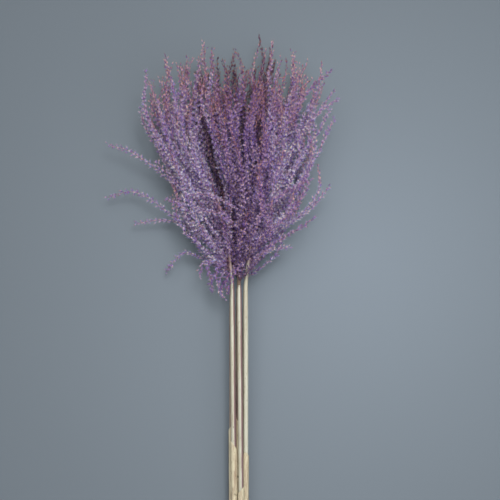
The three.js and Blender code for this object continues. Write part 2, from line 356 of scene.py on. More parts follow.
def above_floor(heights):
    """Lifts what would go through the floor, and keeps its order from low to high."""
    below = np.minimum(heights, FLOOR_EASE) - FLOOR_EASE
    lifted = FLOOR_GAP + (FLOOR_EASE - FLOOR_GAP) * np.exp(below / FLOOR_EASE)
    return np.where(heights < FLOOR_EASE, lifted, heights)


def ring_quads(count, sides):
    """The quads between the rings of a tube whose points run round one ring after another."""
    i, j = np.meshgrid(np.arange(count - 1), np.arange(sides), indexing="ij")
    k = (j + 1) % sides
    quads = np.stack([i * sides + j, i * sides + k, (i + 1) * sides + k, (i + 1) * sides + j], -1)
    return quads.reshape(-1, 4)


def tube(line, radii, sides, uv_of):
    """A closed tube along a line. uv_of(along, around) gives its UVs, each from 0 to 1."""
    count = len(line)
    _, side, up = line_frames(line)
    around = np.arange(sides) / sides
    angle = around * 2 * math.pi
    ring = np.cos(angle)[None, :, None] * side[:, None] + np.sin(angle)[None, :, None] * up[:, None]
    points = (line[:, None] + ring * radii[:, None, None]).reshape(-1, 3)
    points = np.vstack([points, line[:1], line[-1:]])
    j = np.arange(sides)
    k = (j + 1) % sides
    last = (count - 1) * sides
    start_cap = np.stack([k, j, np.full(sides, count * sides)], -1)
    end_cap = np.stack([last + j, last + k, np.full(sides, count * sides + 1)], -1)
    along = np.linspace(0, 1, count)
    uvs = np.array([uv_of(a, b) for a in along for b in around] + [uv_of(0, 0), uv_of(1, 0)])
    return points, [ring_quads(count, sides), start_cap, end_cap], uvs


# ---------------------------------------------------------------- spikelets

GLUME_RINGS = [(0.28, 0.95), (0.7, 0.8)]  # how far along a glume, and how full it is there
SPIKELET_LENGTH = 4.3
LONG_GLUME = {"width": 0.66, "thickness": 0.36, "length": SPIKELET_LENGTH}
SHORT_GLUME = {"width": 0.60, "thickness": 0.34, "length": SPIKELET_LENGTH * 0.92}
AWN_LENGTH = 4.2  # that stands out of the spikelet
AWN_FOOT = 0.8  # where it starts, in spikelets' lengths
AWN_WIDTH = 0.16
AWN_SWAY = 1.5
HAIRS_PER_SPIKELET = 10
HAIR_LENGTH = 5.6
HAIR_WIDTH = 0.31
HAIR_FOOT = 0.2
HAIR_SPREAD = (0.1, 0.75)  # the least and the most that a hair leans out
TEMPLATES = 5  # different spikelets
NO_SPIKE_DIRECTION = (0.31, 0.87, 0.39)

# In the plumes' UV map, u says what a face belongs to and how far along that it is. v is the part
# of the raceme, in bands, and inside its band a number drawn for each spikelet.
STALK_U = (0.02, 0.09)
GLUME_U = (0.12, 0.48)
AXIS_U = (0.6, 0.8)
AWN_U = (0.92, 0.99)
HAIR_U = (0.02, 0.98)
UV_BANDS = 8
UV_WIDTH = 0.0016  # in v, from the middle of a hair or glume to its edge
STALK_UV_SLOPE = 0.15  # in v, along a stalk in one band
AXIS_V = (0.3, 0.7)  # round the plume's axis, in the lowest band


def between(ends, share):
    return ends[0] + (ends[1] - ends[0]) * share


def spike(base, tip, width, us):
    """A three-sided spike, such as a hair or an awn, with its UVs as joined() takes them."""
    along = unit(tip - base)
    side = unit(np.cross(along, NO_SPIKE_DIRECTION))
    up = np.cross(along, side)
    turns = np.arange(3) * 2 * math.pi / 3
    corners = base + width / 2 * (np.cos(turns)[:, None] * side + np.sin(turns)[:, None] * up)
    faces = np.array([(0, 1, 3), (1, 2, 3), (2, 0, 3), (2, 1, 0)])
    return np.vstack([corners, tip]), faces, [(us[0], -1), (us[0], 0), (us[0], 1), (us[1], 0)]


def glume(lean, width, thickness, length):
    """A pointed, boat-shaped scale with its base at the origin, leaning out along x."""
    rings = []
    for along, fullness in GLUME_RINGS:
        out = lean * along * along * length
        for turn in (0, math.pi / 2, math.pi, math.pi * 3 / 2):
            x = out + thickness * fullness * math.cos(turn)
            rings.append((x, width * fullness * math.sin(turn), along * length))
    points = np.array([(0, 0, 0), *rings, (lean * length, 0, length)])
    tip = len(points) - 1
    faces = [(0, 1 + (j + 1) % 4, 1 + j) for j in range(4)]
    for j in range(4):
        low, next_low = 1 + j, 1 + (j + 1) % 4
        faces += [(low, next_low, next_low + 4), (low, next_low + 4, low + 4)]
    faces += [(tip, tip - 4 + j, tip - 4 + (j + 1) % 4) for j in range(4)]
    us = [between(GLUME_U, along) for along, _ in GLUME_RINGS]
    uvs = [(GLUME_U[0], 0)] + [(u, side) for u in us for side in (-1, 1, -1, 1)] + [(GLUME_U[1], 0)]
    return points, np.array(faces), uvs


def scales_template(seed):
    """The solid parts of a spikelet along +z: two glumes and an awn."""
    draw = np.random.default_rng(seed)
    awn_foot = np.array([0, 0, SPIKELET_LENGTH * AWN_FOOT])
    awn_tip = np.array([*draw.uniform(-AWN_SWAY, AWN_SWAY, 2), SPIKELET_LENGTH + AWN_LENGTH])
    return joined(
        [
            glume(draw.uniform(0.08, 0.16), **LONG_GLUME),
            glume(-draw.uniform(0.06, 0.14), **SHORT_GLUME),
            spike(awn_foot, awn_tip, AWN_WIDTH, AWN_U),
        ]
    )


def tuft_template(seed):
    """The hairs of a spikelet, which spread round +z from its base."""
    draw = np.random.default_rng(seed)
    parts = []
    for hair in range(HAIRS_PER_SPIKELET):
        turn = (hair + draw.uniform(0, 0.8)) * 2 * math.pi / HAIRS_PER_SPIKELET
        spread = draw.uniform(*HAIR_SPREAD)
        length = HAIR_LENGTH * draw.uniform(0.7, 1.15)
        out = np.array([math.cos(turn) * math.sin(spread), math.sin(turn) * math.sin(spread), 0])
        foot = (out + np.array([0, 0, 1])) * HAIR_FOOT
        tip = (out + np.array([0, 0, math.cos(spread)])) * length
        parts.append(spike(foot, tip, HAIR_WIDTH, HAIR_U))
    return joined(parts)


def joined(parts):
    """One template from several. Its UVs hold u, and -1 to 1 across the piece's width in v."""
    points, faces, uvs, count = [], [], [], 0
    for part_points, part_faces, part_uvs in parts:
        points.append(part_points)
        faces.append(part_faces + count)
        uvs += part_uvs
        count += len(part_points)
    return np.vstack(points), np.vstack(faces), np.array(uvs)


SCALES = [scales_template(seed) for seed in range(TEMPLATES)]
TUFTS = [tuft_template(seed) for seed in range(TEMPLATES)]

# ---------------------------------------------------------------- materials


def new_material(name):
    material = bpy.data.materials.new(name)
    material.use_nodes = True
    tree = material.node_tree
    return material, tree, tree.nodes["Principled BSDF"]


def add_node(tree, kind, inputs=None, **settings):
    node = tree.nodes.new(kind)
    for key, value in settings.items():
        setattr(node, key, value)
    for key, value in (inputs or {}).items():
        if isinstance(value, bpy.types.NodeSocket):
            tree.links.new(value, node.inputs[key])
        else:
            node.inputs[key].default_value = value
    return node


def add_ramp(tree, factor, stops, interpolation="LINEAR"):
    node = add_node(tree, "ShaderNodeValToRGB", {"Fac": factor})
    node.color_ramp.interpolation = interpolation
    elements = node.color_ramp.elements
    while len(elements) < len(stops):
        elements.new(0.5)
    for element, (position, color) in zip(elements, stops):
        element.position = position
        element.color = (*color, 1)
    return node.outputs["Color"]


def add_mix(tree, factor, first, second, blend="MIX"):
    node = add_node(tree, "ShaderNodeMix", data_type="RGBA", blend_type=blend)
    for socket, value in ((node.inputs[0], factor), (node.inputs[6], first), (node.inputs[7], second)):
        if isinstance(value, bpy.types.NodeSocket):
            tree.links.new(value, socket)
        else:
            socket.default_value = value if isinstance(value, (int, float)) else (*value, 1)
    return node.outputs[2]


def add_math(tree, operation, *values):
    return add_node(tree, "ShaderNodeMath", dict(enumerate(values)), operation=operation).outputs[0]


def add_tint(tree, color, tint):
    return add_mix(tree, 1.0, color, tint, "MULTIPLY")


def uv_and_parts(tree):
    uv = add_node(tree, "ShaderNodeUVMap", uv_map="OFBake").outputs["UV"]
    split = add_node(tree, "ShaderNodeSeparateXYZ", {"Vector": uv})
    return uv, split.outputs["X"], split.outputs["Y"]


BLACK = (0, 0, 0)
WHITE = (1, 1, 1)
DYE_STREAKS = (90, 700, 1)  # how fast the dye's shade changes along u and v
TIP_TINT_FROM = 0.5  # of a raceme's length
TIP_TINT_FULL = 0.95
# of a raceme's length, where the painted shade at its base has faded
BASE_PAINTED_SHADE_GONE = 0.5


def plume_material(name, dusky_stops, bright_stops, tip_tint, base_painted_shade):
    """u picks a colour from the ramps. v blends the dusky ramp into the bright one, spikelet by
    spikelet, tints the racemes' tips, and darkens their bases with painted shade."""
    material, tree, shader = new_material(name)
    uv, kind, height = uv_and_parts(tree)
    drawn = add_math(tree, "FRACT", add_math(tree, "MULTIPLY", height, UV_BANDS))
    base = add_mix(tree, drawn, add_ramp(tree, kind, dusky_stops), add_ramp(tree, kind, bright_stops))
    tipward = add_ramp(tree, height, [(TIP_TINT_FROM, BLACK), (TIP_TINT_FULL, WHITE)])
    color = add_mix(tree, tipward, base, add_tint(tree, base, tip_tint))
    # painted shade: each raceme is darker towards its base, deep in the head
    depth = add_ramp(tree, height, [(0.0, base_painted_shade), (BASE_PAINTED_SHADE_GONE, WHITE)])
    color = add_tint(tree, color, depth)
    stretched = add_node(tree, "ShaderNodeVectorMath", {0: uv, 1: DYE_STREAKS}, operation="MULTIPLY")
    inputs = {"Vector": stretched.outputs[0], "Scale": 1.0, "Detail": 2.0}
    streaks = add_node(tree, "ShaderNodeTexNoise", inputs).outputs[0]
    shade = add_ramp(tree, streaks, [(0.3, (0.75, 0.75, 0.75)), (0.7, (1.2, 1.2, 1.2))])
    tree.links.new(add_tint(tree, color, shade), shader.inputs["Base Color"])
    shader.inputs["Roughness"].default_value = 0.75
    shader.inputs["Specular IOR Level"].default_value = 0.15
    return material


STREAK_SCALE = (1100, 16)  # of a stem's noises, across and along it, per metre
PATCH_SCALE = (90, 9)
FLECK_SCALE = (900, 160)
FLECK_TINT = (0.45, 0.36, 0.30)
STAIN_EDGE = 0.27  # of the way round a culm
STAIN_UNEVENNESS = 0.12
STAIN_SOFTNESS = 0.02
CUT_V = 0.03  # in a culm's UV map, everything below this is its cut end
PITH = (0.66, 0.62, 0.50)
CUT_RIM = (0.30, 0.25, 0.16)
PALE_STRAW = (0.50, 0.49, 0.395)
STREAKED_STRAW = (0.40, 0.35, 0.25)
BROWN_STRAW = (0.36, 0.29, 0.20)
MAUVE_STRAW = (0.20, 0.12, 0.12)
PALE_LEAF = (0.58, 0.52, 0.36)
BROWN_LEAF = (0.33, 0.24, 0.16)


def stem_material(name, pale, brown, middle, roughness, cut=False, stained=False):
    """Dry straw: pale and brown lengthwise streaks, small dark flecks, and fine ribs. A cut one
    shows its pith at its lower end, and dye has run down one side of a stained one. The streaks
    turn from brown to pale at the middle value of their noise."""
    material, tree, shader = new_material(name)
    coordinates = add_node(tree, "ShaderNodeTexCoord").outputs["Object"]

    def noise(scale, detail):
        across, along = scale
        inputs = {0: coordinates, 1: (across, along, across)}
        stretched = add_node(tree, "ShaderNodeVectorMath", inputs, operation="MULTIPLY").outputs[0]
        inputs = {"Vector": stretched, "Scale": 1.0, "Detail": detail, "Roughness": 0.6}
        return add_node(tree, "ShaderNodeTexNoise", inputs).outputs[0]

    streaks = noise(STREAK_SCALE, 3.0)
    patches = noise(PATCH_SCALE, 2.0)
    flecks = noise(FLECK_SCALE, 2.0)
    blend = add_math(tree, "MULTIPLY", add_math(tree, "ADD", streaks, patches), 0.5)
    color = add_ramp(tree, blend, [(middle - 0.10, brown), (middle + 0.06, pale)])
    color = add_tint(tree, color, add_ramp(tree, flecks, [(0.28, FLECK_TINT), (0.36, WHITE)]))
    if stained:
        _, around, _ = uv_and_parts(tree)
        edge = add_math(tree, "MULTIPLY_ADD", patches, STAIN_UNEVENNESS, around)
        clean = add_ramp(tree, edge, [(STAIN_EDGE - STAIN_SOFTNESS, BLACK), (STAIN_EDGE, WHITE)])
        color = add_mix(tree, clean, MAUVE_STRAW, color)
    if cut:
        _, _, height = uv_and_parts(tree)
        inside = add_ramp(tree, height, [(CUT_V * 0.6, PITH), (CUT_V * 0.75, CUT_RIM)])
        outside = add_ramp(tree, height, [(CUT_V * 0.98, BLACK), (CUT_V, WHITE)])
        color = add_mix(tree, outside, inside, color)
    tree.links.new(color, shader.inputs["Base Color"])
    inputs = {"Strength": 0.35, "Distance": 0.00015, "Height": streaks}
    ribs = add_node(tree, "ShaderNodeBump", inputs).outputs[0]
    tree.links.new(ribs, shader.inputs["Normal"])
    shader.inputs["Roughness"].default_value = roughness
    return material


# By u: stalk, glume, the plume's axis and awn, each from its base to its tip
DUSKY_SPIKELET = [
    (0.0, (0.10, 0.03, 0.06)),
    (0.10, (0.14, 0.05, 0.08)),
    (0.12, (0.05, 0.012, 0.05)),
    (0.30, (0.10, 0.028, 0.075)),
    (0.48, (0.20, 0.085, 0.10)),
    (0.60, (0.50, 0.44, 0.28)),
    (0.66, (0.36, 0.24, 0.16)),
    (0.80, (0.13, 0.06, 0.08)),
    (0.92, (0.17, 0.07, 0.09)),
    (0.99, (0.28, 0.17, 0.15)),
]
BRIGHT_SPIKELET = [
    (0.0, (0.40, 0.24, 0.24)),
    (0.10, (0.52, 0.35, 0.30)),
    (0.12, (0.26, 0.11, 0.26)),
    (0.30, (0.60, 0.38, 0.30)),
    (0.48, (0.95, 0.72, 0.40)),
    (0.60, (0.66, 0.60, 0.42)),
    (0.66, (0.48, 0.34, 0.23)),
    (0.80, (0.20, 0.10, 0.12)),
    (0.92, (0.32, 0.18, 0.18)),
    (0.99, (0.52, 0.38, 0.30)),
]
DUSKY_HAIR = [(0.0, (0.11, 0.05, 0.27)), (0.5, (0.26, 0.16, 0.60)), (1.0, (0.46, 0.36, 0.88))]
BRIGHT_HAIR = [(0.0, (0.30, 0.18, 0.62)), (0.5, (0.60, 0.48, 0.98)), (1.0, (0.86, 0.80, 1.0))]
SPIKELET_TIP_TINT = (0.84, 0.62, 0.68)
HAIR_TIP_TINT = (0.98, 0.86, 0.88)
PALEST_DYE_AND_LIGHT = 0.98


# multiplies a ramp by a plume's tint, which holds painted light and shade as well as the dye's hue
def dyed_with_painted_light(stops, tint):
    return [(u, tuple(np.minimum(PALEST_DYE_AND_LIGHT, np.multiply(color, tint)))) for u, color in stops]


# Painted light and shade: the plumes inside and beneath the bundle are painted darkest, as if in
# its shade, and the ones at its sides palest, as if lit more. The tints are for the spikelets, the
# dusky hairs, the bright hairs, and everything near a raceme's base, where the tint is painted shade.
PLUME_PAINTED_LIGHT_TINTS = {
    "painted_shade": ((0.58, 0.54, 0.50), (0.50, 0.44, 0.48), (0.56, 0.50, 0.52), (0.32, 0.26, 0.32)),
    "middle": ((0.92, 0.88, 0.88), (0.84, 0.82, 0.90), (0.86, 0.84, 0.94), (0.32, 0.26, 0.32)),
    "pale": ((1.44, 1.50, 1.66), (1.8, 2.05, 1.66), (0.84, 1.18, 0.96), (0.54, 0.44, 0.58)),
}
plume_looks = {}
for shade, (scale_tint, dusky_tint, bright_tint, base_painted_shade) in PLUME_PAINTED_LIGHT_TINTS.items():
    spikelets = plume_material(
        f"spikelets_{shade}",
        dyed_with_painted_light(DUSKY_SPIKELET, scale_tint),
        dyed_with_painted_light(BRIGHT_SPIKELET, scale_tint),
        SPIKELET_TIP_TINT,
        base_painted_shade,
    )
    hairs = plume_material(
        f"hairs_{shade}",
        dyed_with_painted_light(DUSKY_HAIR, dusky_tint),
        dyed_with_painted_light(BRIGHT_HAIR, bright_tint),
        HAIR_TIP_TINT,
        base_painted_shade,
    )
    plume_looks[shade] = (spikelets, hairs)
culm_looks = {
    "pale": stem_material(
        "culm_pale", PALE_STRAW, STREAKED_STRAW, middle=0.48125, roughness=0.5, cut=True
    ),
    "stained": stem_material(
        "culm_stained",
        PALE_STRAW,
        STREAKED_STRAW,
        middle=0.48125,
        roughness=0.5,
        cut=True,
        stained=True,
    ),
    "mauve": stem_material(
        "culm_mauve", BROWN_STRAW, MAUVE_STRAW, middle=0.5125, roughness=0.55, cut=True
    ),
}
sheath_look = stem_material("leaf_sheath", PALE_LEAF, BROWN_LEAF, middle=0.50625, roughness=0.6)

# ---------------------------------------------------------------- plumes

AXIS_SIDES = 8
AXIS_STEPS = 8
AXIS_SPACING = 4  # of the points on a plume's axis
LINE_SPACING = 3  # of the points on a raceme's line
WANDER_WAVES = [(150, 1.6), (60, 0.4)]  # their lengths and sizes
WILD = 3.8  # how far a raceme of the head wanders
TAME = 1.2  # and a loose one
NODE_SPACING = 3.2  # between the pairs of spikelets on a raceme
ZIGZAG = 0.35
STALK_RADIUS = 0.36
STALK_NARROWING = 0.16
STALK_SIDES = 5
SPIKELET_OFFSET = 0.4  # of a spikelet's foot from the stalk's middle
BARE_SHARE = 0.07  # of a raceme, at its foot
BARE_NODES = 2
TWIST_ALONG = 3.0  # of the two rows of spikelets round a raceme
UPPER_TURN = 1.2  # of a node's upper spikelet, away from its row
LOWER_TURN = -0.3
ROW_SPREAD = 0.6
UPPER_LEAN = 0.54
LOWER_LEAN = 0.36
LEAN_SPREAD = 0.12
ROLL_SPREAD = 0.6
NODE_SHIFT = 0.45  # the most that a spikelet is off its node, in units of their spacing
SIZES = (0.82, 1.12)
LAST_LOWER = (0.90, 1.04)  # where on a raceme the lower spikelets end
UPPER_PEDICEL = (1.2, 2.2)
LOWER_PEDICEL = 0.4
TIP_FADE = 10  # spikelets change over the last tenth of a raceme
TIP_LEAN = 0.75
TIP_SIZE = 0.9
HAIR_FADE = 5  # and their hairs over the last fifth
TIP_HAIRS = 0.6  # how long the last spikelets' hairs are, compared with the others'
DRAWN_LIMITS = (0.02, 0.98)
LOOSE_SHINE = 0.15


def wander(line, amount):
    """Bends a raceme's line a little, more towards its tip."""
    _, side, up = line_frames(line)
    share = np.linspace(0, 1, len(line))
    length = np.sum(np.linalg.norm(np.diff(line, axis=0), axis=1))
    moved = line.copy()
    for direction in (side, up):
        for wave, size in WANDER_WAVES:
            phase = random.uniform(0, 2 * math.pi)
            swing = np.sin(phase + share * length / wave * 2 * math.pi) - math.sin(phase)
            moved += direction * (swing * size * amount * share)[:, None]
    return moved


def parted(line):
    """Moves a raceme at the front of the head off the parting, to the side it is mostly on."""
    x, y, z = line.T
    foot, top = np.array(PARTING_FOOT), np.array(PARTING_TOP)
    along = (y - foot[1]) / (top[1] - foot[1])
    off = x - foot[0] - (top[0] - foot[0]) * along
    near = np.exp(-((along - 0.5) ** 4) / PARTING_ENDS)
    near = near * np.exp(-((off / PARTING_WIDTH / PARTING_FADE) ** 2))
    height = z - np.array([middle_height(value) for value in y])
    near = near * np.clip(height / PARTING_DEPTH, 0, 1)
    side = 1 if np.sum(off * near) > 0 else -1
    return np.stack([x + side * PARTING_WIDTH * near, y, z], axis=1)


def stalk(soup, line, share):
    """A raceme's stalk, of about one shade from its foot to its tip."""
    stalk_v = random.uniform(0.2, 0.8)

    def stalk_uv(along, around):
        band = min(UV_BANDS - 1, int(along * UV_BANDS))
        in_band = stalk_v + STALK_UV_SLOPE * (along * UV_BANDS - band)
        return (between(STALK_U, around), (band + in_band) / UV_BANDS)

    soup.add(*tube(line, STALK_RADIUS - STALK_NARROWING * share, STALK_SIDES, stalk_uv))


def spikelet_nodes(share):
    """The node that each spikelet stands on, and whether it is the node's upper one. Some of the
    lower ones are missing near the tip."""
    count = len(share)
    first = max(BARE_NODES, int(count * BARE_SHARE))
    nodes = np.repeat(np.arange(first, count), 2)
    is_upper = np.tile([False, True], count - first)
    kept = is_upper | (share[nodes] < random.uniform(*LAST_LOWER, len(nodes)))
    return nodes[kept], is_upper[kept]


def raceme(scales, hairs, line, wildness=WILD, shine=0, tip_hairs=TIP_HAIRS):
    """A raceme's stalk, with a pair of spikelets at each node. shine moves their shade from dusky
    towards bright."""
    line = even_line(wander(line, wildness), NODE_SPACING)
    along, side, up = line_frames(line)
    count = len(line)
    share = np.linspace(0, 1, count)
    line = line + np.where(np.arange(count) % 2, ZIGZAG, -ZIGZAG)[:, None] * side
    stalk(scales, line, share)

    nodes, is_upper = spikelet_nodes(share)
    total = len(nodes)
    share, along, side, up = share[nodes], along[nodes], side[nodes], up[nodes]
    rank = np.where(nodes % 2, 0.0, math.pi) + np.where(is_upper, UPPER_TURN, LOWER_TURN)
    rank = rank + share * TWIST_ALONG + random.uniform(0, 6.28) + random.normal(0, ROW_SPREAD, total)
    outward = np.cos(rank)[:, None] * side + np.sin(rank)[:, None] * up
    lean = np.where(is_upper, UPPER_LEAN, LOWER_LEAN) + random.normal(0, LEAN_SPREAD, total)
    lean = lean * np.clip((1 - share) * TIP_FADE, TIP_LEAN, 1)
    axis = unit(along * np.cos(lean)[:, None] + outward * np.sin(lean)[:, None])
    shifted = random.uniform(-NODE_SHIFT, NODE_SHIFT, total)[:, None] * NODE_SPACING * along
    pedicel = np.where(is_upper, random.uniform(*UPPER_PEDICEL, total), LOWER_PEDICEL)
    base = line[nodes] + outward * SPIKELET_OFFSET + shifted + axis * pedicel[:, None]
    across = unit(np.cross(axis, outward))
    roll = random.uniform(-ROLL_SPREAD, ROLL_SPREAD, total)[:, None]
    x_axis = across * np.sin(roll) - np.cross(axis, across) * np.cos(roll)
    axes = np.stack([x_axis, np.cross(axis, x_axis), axis], axis=1)
    size = random.uniform(*SIZES, total) * np.clip((1 - share) * TIP_FADE, TIP_SIZE, 1)
    hair_size = size * np.clip((1 - share) * HAIR_FADE, tip_hairs, 1)
    drawn = np.clip(random.beta(0.9, 1.0, total) + shine, *DRAWN_LIMITS)
    band = np.minimum(UV_BANDS - 1, (share * UV_BANDS).astype(int))
    height = (band + drawn) / UV_BANDS
    strew(scales, SCALES, base, axes, size, height)
    strew(hairs, TUFTS, base, axes, hair_size, height)


def strew(soup, templates, base, axes, size, height):
    """Puts one of the templates at each base."""
    choice = random.integers(0, len(templates), len(base))
    for which, (points, faces, template_uvs) in enumerate(templates):
        chosen = choice == which
        amount = int(chosen.sum())
        placed = np.einsum("vk,nkd->nvd", points, axes[chosen]) * size[chosen][:, None, None]
        placed += base[chosen][:, None]
        offsets = (np.arange(amount) * len(points))[:, None, None]
        uvs = np.tile(template_uvs * [1, UV_WIDTH], (amount, 1, 1))
        uvs[..., 1] += height[chosen][:, None]
        soup.add(placed.reshape(-1, 3), [(faces[None] + offsets).reshape(-1, 3)], uvs.reshape(-1, 2))


def plume_lines(n):
    """The line of each raceme that follows the plumes' shared outline."""
    lines = []
    for index in range(RACEMES_PER_PLUME):
        share = (index + 0.5) / RACEMES_PER_PLUME
        aim = raceme_aim(n, index, share, CELL_RADIUS)
        lines.append(raceme_points(n, raceme_start(n, share), aim, raceme_length(n, index, aim)))
    for index in range(RACEMES_PER_PLUME, RACEMES_PER_PLUME + EXTRA_RACEMES):
        share = (index * EXTRA_STEP) % 1
        aim = np.array(raceme_aim(n, index, share, EXTRA_CELL_RADIUS))
        reach = EXTRA_REACH_RIGHT if aim[0] > 0 else EXTRA_REACH_LEFT
        aim *= min(1, reach / np.linalg.norm(aim))
        top = EXTRA_TOP * (1 - EXTRA_TOP_DROP * aim @ aim)
        top *= 1 - EXTRA_TOP_SPREAD * chance(n, index, 1)
        first = raceme_start(n, share)
        lines.append(raceme_points(n, first, aim, top - first))
    for index in range(FIRST_SHORT, FIRST_SHORT + SHORT_RACEMES):
        share = SHORT_SHARE * (index - FIRST_SHORT + 0.5) / SHORT_RACEMES
        aim = raceme_aim(n, index * 2, share, SHORT_CELL_RADIUS)
        shortening = SHORT_LENGTH + SHORT_LENGTH_SPREAD * chance(n, index, 5)
        length = raceme_length(n, index, aim) * shortening
        lines.append(raceme_points(n, raceme_start(n, share), aim, length))
    return lines


def plume(n):
    scales, hairs = Soup(), Soup()
    start = PLUME_STARTS[n]
    heights = [start + AXIS_LENGTH * step / AXIS_STEPS for step in range(AXIS_STEPS + 1)]
    axis_line = smooth_line([stem_point(n, height) for height in heights], AXIS_SPACING)
    radii = np.linspace(AXIS_RADIUS, AXIS_TIP_RADIUS, len(axis_line))

    def axis_uv(along, around):
        return (between(AXIS_U, along), between(AXIS_V, around) / UV_BANDS)

    scales.add(*tube(axis_line, radii, AXIS_SIDES, axis_uv))
    for line in plume_lines(n):
        raceme(scales, hairs, parted(smooth_line(line, LINE_SPACING)))
    for stray in STRAYS + LOOSE:
        if stray["plume"] == n:
            from_axis = stem_point(n, start + stray["start"])
            line = smooth_line([from_axis, *stray["through"]], LINE_SPACING)
            shine = stray.get("shine", LOOSE_SHINE)
            raceme(scales, hairs, line, wildness=TAME, shine=shine, tip_hairs=1)
    spikelet_look, hair_look = plume_looks[PLUME_PAINTED_LIGHT[n]]
    scales.build(f"plume_{n + 1}_spikelets", spikelet_look, "plume", f"plume_{n + 1}")
    hairs.build(f"plume_{n + 1}_hairs", hair_look, "plume", f"plume_{n + 1}")


# ---------------------------------------------------------------- stems

CULM_SIDES = 24
CULM_STEP = 6.0  # between its rings
NECK_RADII = {"below": 2.9, "neck": 2.5, "top": 1.8}
TAPER_FROM = -30  # above here, a culm narrows to its neck
CULM_TOP = 2  # above the foot of its plume
JOINT_BELOW_SHEATH = 2.4
JOINT_REACH = 5
JOINT_RINGS = 15
JOINT_SWELLING = {"size": 0.32, "at": 0, "width": 1.6}
JOINT_GROOVE = {"size": -0.12, "at": 2.6, "width": 0.9}
RIBS = [(0.03, 7, 1), (0.02, 11, 2)]  # their height, how many there are, and how far each culm's turn
CUT_DEPTHS = [0.5, 0.25, 0]  # of the rings across a cut end, from its pith outwards
CUT_SHARES = [0.4, 0.8, 0.86]  # their radii, in units of the culm's


def bulge(shape, distances):
    return shape["size"] * np.exp(-(((distances - shape["at"]) / shape["width"]) ** 2))


def culm(n):
    """A culm with a swollen joint, fine ribs, and a cut end that shows its pith."""
    bottom = -STEM_LENGTH + CUT_STEPS[n]
    top = PLUME_STARTS[n] + CULM_TOP
    joint = SHEATH_TOPS[n] - SHEATH_LENGTHS[n] - JOINT_BELOW_SHEATH
    near_joint = joint + np.linspace(-JOINT_REACH, JOINT_REACH, JOINT_RINGS)
    heights = np.unique(np.concatenate([np.arange(bottom, top, CULM_STEP), near_joint, [top]]))
    line = np.array([stem_point(n, y) for y in heights])
    radii = np.interp(heights, [bottom, TAPER_FROM, 0, top], [CULM_RADIUS, *NECK_RADII.values()])
    radii += bulge(JOINT_SWELLING, heights - joint) + bulge(JOINT_GROOVE, heights - joint)
    around = np.arange(CULM_SIDES) * 2 * math.pi / CULM_SIDES
    ribs = sum(size * np.sin(around * count + turn * n) for size, count, turn in RIBS)
    radii = radii[:, None] + ribs[None]
    cut = line[:1] + np.array([[0, depth, 0] for depth in CUT_DEPTHS])
    line = np.vstack([cut, line])
    radii = np.vstack([np.array(CUT_SHARES)[:, None] * radii[:1], radii])
    soup = Soup()
    soup.add(*stem_tube(line, radii, len(cut) + 1))
    return soup.build(f"culm_{n + 1}_stem", culm_looks[CULM_SHADES[n]], "culm", f"culm_{n + 1}")


def stem_tube(line, radii, cut_rings):
    """A closed tube round the y direction, whose rings may go back on themselves. The first rings
    are its cut end, and take the lowest part of the UV map."""
    count, sides = radii.shape
    angle = np.arange(sides) * 2 * math.pi / sides
    ring = np.stack([np.cos(angle), np.zeros(sides), np.sin(angle)], axis=1)
    points = (line[:, None] + ring[None] * radii[..., None]).reshape(-1, 3)
    points = np.vstack([points, line[:1], line[-1:]])
    j = np.arange(sides)
    k = (j + 1) % sides
    last = (count - 1) * sides
    quads = ring_quads(count, sides)[:, [0, 3, 2, 1]]
    start_cap = np.stack([j, k, np.full(sides, count * sides)], -1)
    end_cap = np.stack([last + k, last + j, np.full(sides, count * sides + 1)], -1)
    v_cut = np.linspace(0.005, CUT_V * 0.95, cut_rings - 1)
    v_stem = np.linspace(CUT_V + 0.005, 0.99, count - cut_rings)
    v_rings = np.concatenate([v_cut, [CUT_V], v_stem])
    uvs = [(0.98 * side / sides, v) for v in v_rings for side in range(sides)]
    return points, [quads, start_cap, end_cap], np.array(uvs + [(0.5, 0), (0.5, 1)])


SHEATH_ROWS = 60
SHEATH_COLUMNS = 40
SHEATH_FIT = 0.12  # between it and its culm
SHEATH_OVERLAP = 0.7  # how much more than once it goes round, in radians
SHEATH_WRAP = 0.42  # how much further out its outer edge is than its inner one
LEAF_THICKNESS = 0.22
FIRST_SEAM = 1.1
SEAM_STEP = 1.9
SHEATH_SLANT = 9  # of its top edge
SLANT_FROM = 0.5  # of a sheath's length
FACE_U = 0.48  # the width of a sheath's inner face in its UV map, and its outer one's
SHEATH_GAPE = 0.25  # at its top
GAPE_POWER = 6
LEAF_RIB = 0.025
LEAF_RIBS = 13
SHEATH_OUTSIDE = 0.82  # the most it adds to its culm's radius
CULM_OUTSIDE = 0.1  # the most a culm's ribs add


def sheath_layer(n, inner):
    """The grid of points of one face of a leaf sheath, inner away from its culm's axis."""
    bottom = SHEATH_TOPS[n] - SHEATH_LENGTHS[n]
    seam = FIRST_SEAM + SEAM_STEP * n
    grid = []
    for row in range(SHEATH_ROWS + 1):
        share = row / SHEATH_ROWS
        for column in range(SHEATH_COLUMNS + 1):
            wrap = column / SHEATH_COLUMNS
            angle = seam + wrap * (2 * math.pi + SHEATH_OVERLAP)
            slant = SHEATH_SLANT * (0.5 + 0.5 * math.cos(angle - seam)) if share > SLANT_FROM else 0
            y = bottom + share * (SHEATH_LENGTHS[n] - slant)
            radius = inner + wrap * SHEATH_WRAP + SHEATH_GAPE * share**GAPE_POWER
            radius += LEAF_RIB * math.sin(angle * LEAF_RIBS + n)
            x, _, z = stem_point(n, y)
            grid.append((x + radius * math.cos(angle), y, z + radius * math.sin(angle)))
    return grid


